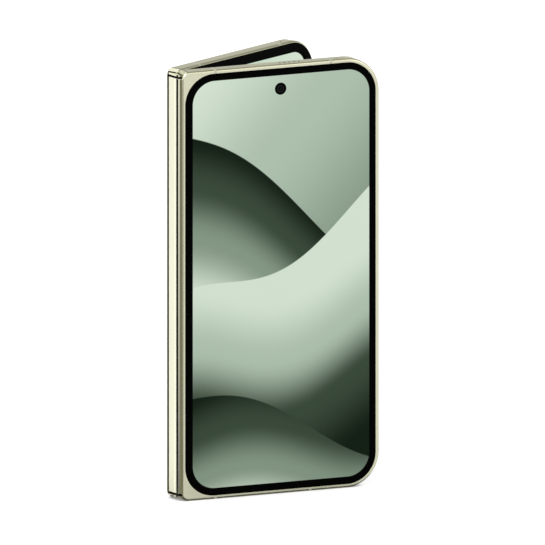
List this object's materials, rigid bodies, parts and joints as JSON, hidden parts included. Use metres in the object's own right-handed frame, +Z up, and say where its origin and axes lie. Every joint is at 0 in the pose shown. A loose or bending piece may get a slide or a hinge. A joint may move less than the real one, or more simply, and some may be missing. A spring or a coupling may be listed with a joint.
{
  "type": "foldable smartphone",
  "caption": "Book-style folding smartphone standing part open, with a cover screen, a folding inner screen, a geared hinge, side keys and a card tray.",
  "frame": {"origin": "midway between the two fold axes, in the plane of the lower edges that the phone stands on", "axes": "+Z up along the phone's height, +X from the hinge midway between the halves to their free edges, cover-screen half on the -Y side"},
  "size_m": [0.0745, 0.0465, 0.1552],
  "materials": {
    "frame_metal": "polished",
    "spine_metal": "polished",
    "hinge_steel": "satin",
    "screw_steel": "satin",
    "seam_plastic": "satin",
    "cover_glass": "gloss",
    "display_panel": "gloss",
    "rear_glass": "satin",
    "flex_display": "gloss",
    "bezel_black": "satin",
    "support_plate": "satin",
    "camera_metal": "satin",
    "lens_glass": "gloss",
    "lamp_glass": "gloss",
    "module_black": "matte",
    "battery_wrap": "matte",
    "board_green": "satin",
    "shield_steel": "satin",
    "coil_copper": "satin",
    "flex_cable": "satin"
  },
  "bodies": {
    "hinge_spine": {"hinge_cover": "spine_metal", "hinge_collars": "spine_metal", "hinge_pins": "hinge_steel", "guide_blocks": "hinge_steel", "fold_flex_cable": "flex_cable"},
    "centre_support": {"centre_plate": "support_plate", "inner_display_fold": "flex_display"},
    "front_half": {"front_frame": "frame_metal", "front_antenna_seams": "seam_plastic", "cover_glass": "cover_glass", "cover_panel": "display_panel", "cover_camera": "module_black", "earpiece": "module_black", "front_battery": "battery_wrap", "front_board": "board_green", "front_board_cans": "shield_steel", "front_sync_gears": "hinge_steel", "front_hinge_rails": "hinge_steel", "front_rail_screws": "screw_steel", "inner_display_front": "flex_display", "front_bezel": "bezel_black"},
    "front_wing": {"front_wing_plate": "support_plate", "inner_display_wing_front": "flex_display"},
    "rear_half": {"rear_frame": "frame_metal", "rear_antenna_seams": "seam_plastic", "rear_glass": "rear_glass", "camera_plate": "camera_metal", "lens_rings": "camera_metal", "lens_covers": "lens_glass", "lamp_window": "lamp_glass", "camera_modules": "module_black", "main_board": "board_green", "main_board_cans": "shield_steel", "rear_battery": "battery_wrap", "charging_coil": "coil_copper", "usb_port": "shield_steel", "usb_tongue": "module_black", "sub_board": "board_green", "loudspeaker": "module_black", "vibration_motor": "shield_steel", "key_switches": "module_black", "card_reader": "shield_steel", "rear_sync_gears": "hinge_steel", "rear_hinge_rails": "hinge_steel", "rear_rail_screws": "screw_steel", "inner_display_rear": "flex_display", "rear_bezel": "bezel_black"},
    "rear_wing": {"rear_wing_plate": "support_plate", "inner_display_wing_rear": "flex_display"},
    "power_button": {"power_key": "frame_metal"},
    "volume_button": {"volume_key": "frame_metal"},
    "sim_tray": {"card_tray": "frame_metal"}
  },
  "joints": [
    {"name": "front_fold", "type": "hinge", "parent": "hinge_spine", "child": "front_half", "pos_m": [0, -0.00185, 0], "axis": [0, 0, -1], "range_deg": [-14, 76]},
    {"name": "rear_fold", "type": "hinge", "parent": "hinge_spine", "child": "rear_half", "pos_m": [0, 0.00185, 0], "axis": [0, 0, 1], "range_deg": [-14, 76]},
    {"name": "centre_lift", "type": "slide", "parent": "hinge_spine", "child": "centre_support", "axis": [1, 0, 0], "range_m": [-0.00043, 0.00233], "deforming": ["inner_display_fold"]},
    {"name": "front_wing_tilt", "type": "hinge", "parent": "front_half", "child": "front_wing", "pos_m": [0.00394, -0.00196, 0], "axis": [0, 0, -1], "range_deg": [-2.23, 11.87]},
    {"name": "rear_wing_tilt", "type": "hinge", "parent": "rear_half", "child": "rear_wing", "pos_m": [0.00394, 0.00196, 0], "axis": [0, 0, 1], "range_deg": [-2.23, 11.87]},
    {"name": "power_press", "type": "slide", "parent": "rear_half", "child": "power_button", "axis": [-0.9703, -0.2419, 0], "range_m": [0, 0.00025], "stiffness_N_per_m": 3000},
    {"name": "volume_press", "type": "slide", "parent": "rear_half", "child": "volume_button", "axis": [-0.9703, -0.2419, 0], "range_m": [0, 0.00025], "stiffness_N_per_m": 3000},
    {"name": "tray_slide", "type": "slide", "parent": "rear_half", "child": "sim_tray", "axis": [0.9703, 0.2419, 0], "range_m": [0, 0.018]}
  ],
  "couplings": [
    {"joint": "rear_fold", "follows": "front_fold", "ratio": 1},
    {"joint": "front_wing_tilt", "follows": "front_fold", "ratio": 0.15556},
    {"joint": "rear_wing_tilt", "follows": "front_fold", "ratio": 0.15556},
    {"joint": "centre_lift", "follows": "front_fold", "m_per_rad": 0.0017507}
  ]
}
